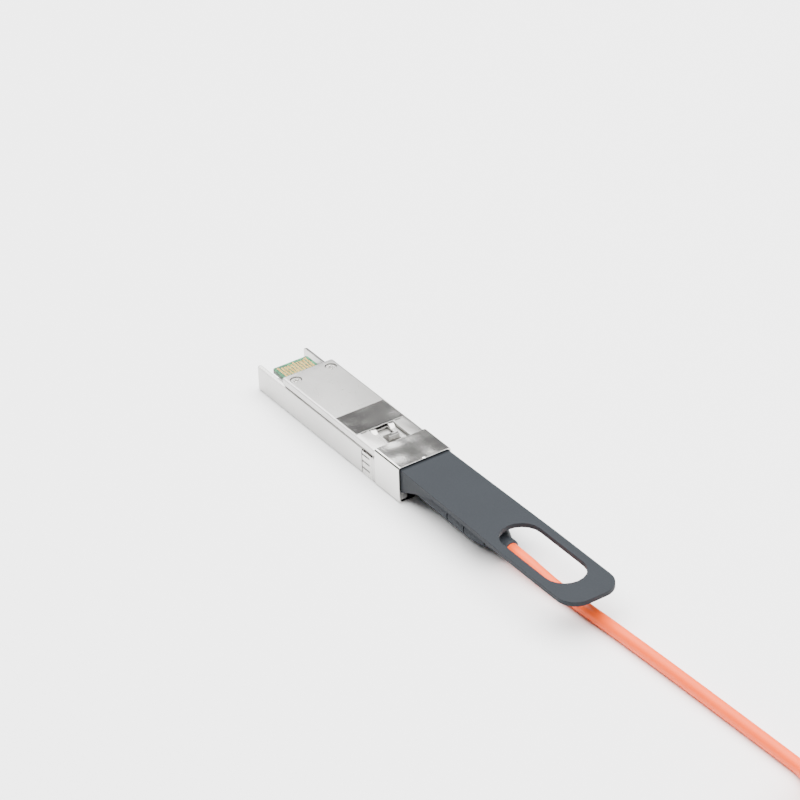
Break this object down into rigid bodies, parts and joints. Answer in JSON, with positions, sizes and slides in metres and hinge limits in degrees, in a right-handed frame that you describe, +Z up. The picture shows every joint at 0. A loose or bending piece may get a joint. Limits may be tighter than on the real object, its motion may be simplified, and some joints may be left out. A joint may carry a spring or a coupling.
{
  "type": "pluggable optical transceiver",
  "caption": "Pluggable optical module with a nickel-plated shell, a grey pull tab, a strain relief boot and an orange fibre cable that is folded and tied and ends in a second module.",
  "frame": {"origin": "bottom centre of the near module's footprint, from the end of its pull tab to its rear edge, on the surface it lies on", "axes": "+Y along the module from the pull tab to the edge connector (the way it goes into its cage), +X across it, +Z up, out of its latch side"},
  "size_m": [0.0285, 0.358, 0.0162],
  "materials": {
    "cast_nickel": "nickel-plated zinc casting, satin bright",
    "bright_nickel": "nickel-plated sheet, mirror bright",
    "spring_steel": "stamped spring steel",
    "slate_plastic": "slate grey moulded plastic, fine matt",
    "boot_rubber": "dark grey moulded elastomer, matt",
    "orange_jacket": "orange cable jacket, satin",
    "board": "green solder mask",
    "chip_black": "black moulding compound",
    "gold": "gold colour, satin",
    "amber_optic": "clear amber optical resin",
    "fibre_buffer": "white fibre buffer",
    "thermal_pad": "soft grey-blue gap pad",
    "label": "blank white label film",
    "tie": "black hook-and-loop strap"
  },
  "bodies": {
    "module": {"lower_housing": "cast_nickel", "latch_cover": "cast_nickel", "nose_sleeve": "bright_nickel", "contact_collar": "spring_steel", "slide_retainer": "bright_nickel", "strain_relief_boot": "boot_rubber", "main_board": "board", "return_spring_left": "spring_steel", "return_spring_right": "spring_steel", "cover_screw_left": "spring_steel", "cover_screw_right": "spring_steel", "cable_clamp": "cast_nickel", "crimp_ring": "gold", "transmit_fibre": "fibre_buffer", "receive_fibre": "fibre_buffer", "fibre_ferrule": "chip_black", "ferrule_clip": "spring_steel", "lens_block": "amber_optic", "laser_chip": "gold", "photodiode_chip": "gold", "driver_chip": "chip_black", "microcontroller": "chip_black", "thermal_pad": "thermal_pad", "id_label": "label", "cable": "orange_jacket", "far_cable": "orange_jacket", "cable_hank": "orange_jacket", "hank_tie": "tie", "far_lower_housing": "cast_nickel", "far_latch_cover": "cast_nickel", "far_nose_sleeve": "bright_nickel", "far_contact_collar": "spring_steel", "far_slide_retainer": "bright_nickel", "far_strain_relief_boot": "boot_rubber", "far_main_board": "board", "far_return_spring_left": "spring_steel", "far_return_spring_right": "spring_steel", "far_cover_screw_left": "spring_steel", "far_cover_screw_right": "spring_steel"},
    "release": {"pull_tab": "slate_plastic", "release_slide": "spring_steel"},
    "far_release": {"far_pull_tab": "slate_plastic", "far_release_slide": "spring_steel"}
  },
  "joints": [
    {"name": "release_pull", "type": "slide", "parent": "module", "child": "release", "axis": [0, -1, 0], "range_m": [0, 0.0025], "stiffness_N_per_m": 800, "springref_m": -0.0005, "deforming": ["return_spring_left", "return_spring_right"]},
    {"name": "far_release_pull", "type": "slide", "parent": "module", "child": "far_release", "axis": [0, 1, 0], "range_m": [0, 0.0025], "stiffness_N_per_m": 800, "springref_m": -0.0005, "deforming": ["far_return_spring_left", "far_return_spring_right"]}
  ]
}
